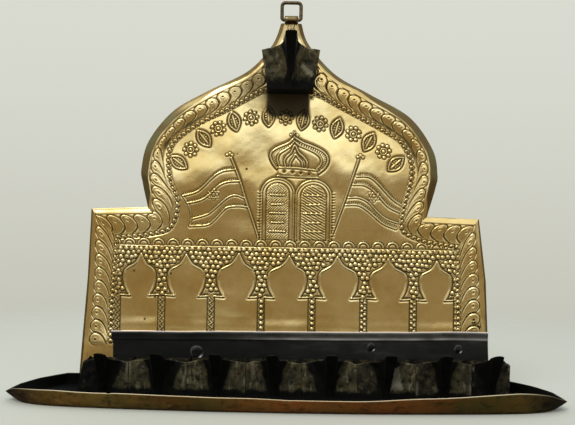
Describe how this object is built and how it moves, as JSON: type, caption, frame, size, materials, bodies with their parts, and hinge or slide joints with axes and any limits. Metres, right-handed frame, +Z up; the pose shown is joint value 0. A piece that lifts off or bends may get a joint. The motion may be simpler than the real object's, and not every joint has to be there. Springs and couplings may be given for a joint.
{
  "type": "hanukkah oil lamp",
  "caption": "Brass oil lamp with a domed, embossed backplate, a row of spouted oil cups in a boat-shaped drip tray, a raised servant cup and a hanging link.",
  "frame": {"origin": "on the underside of the drip tray, half way through its flat floor from back to front, on the backplate's middle line", "axes": "+X along the tray to the viewer's right, +Y from the front towards the wall behind the backplate, +Z up"},
  "size_m": [0.279, 0.0625, 0.2092],
  "materials": {
    "polished_brass": "embossed and hand polished, dark patina in the hollows",
    "aged_brass": "aged, reddish and olive patches, sooty inside",
    "worn_brass": "dull and worn wire",
    "sooty_tin": "sooty, dented sheet with rusty and olive patches",
    "dark_tin": "dark satin sheet with a bright folded edge",
    "dull_iron": "crude hammered heads"
  },
  "bodies": {
    "lamp": {"backplate": "polished_brass", "drip_tray": "aged_brass", "back_strip": "dark_tin", "oil_cup_1": "sooty_tin", "oil_cup_2": "sooty_tin", "oil_cup_3": "sooty_tin", "oil_cup_4": "sooty_tin", "oil_cup_5": "sooty_tin", "oil_cup_6": "sooty_tin", "oil_cup_7": "sooty_tin", "oil_cup_8": "sooty_tin", "servant_cup": "sooty_tin", "strip_rivet_left": "dull_iron", "strip_rivet_middle": "dull_iron", "strip_rivet_right": "dull_iron", "tray_rivet_1": "aged_brass", "tray_rivet_2": "aged_brass", "tray_rivet_3": "aged_brass", "tray_rivet_4": "aged_brass", "servant_rivet_1": "dull_iron", "servant_rivet_2": "dull_iron"},
    "hanging_link": {"hanging_link": "worn_brass"}
  },
  "joints": [
    {"name": "link_swing", "type": "hinge", "parent": "lamp", "child": "hanging_link", "pos_m": [0.0006, 0.0277, 0.199], "axis": [1, 0, 0], "range_deg": [-100, 145]}
  ]
}
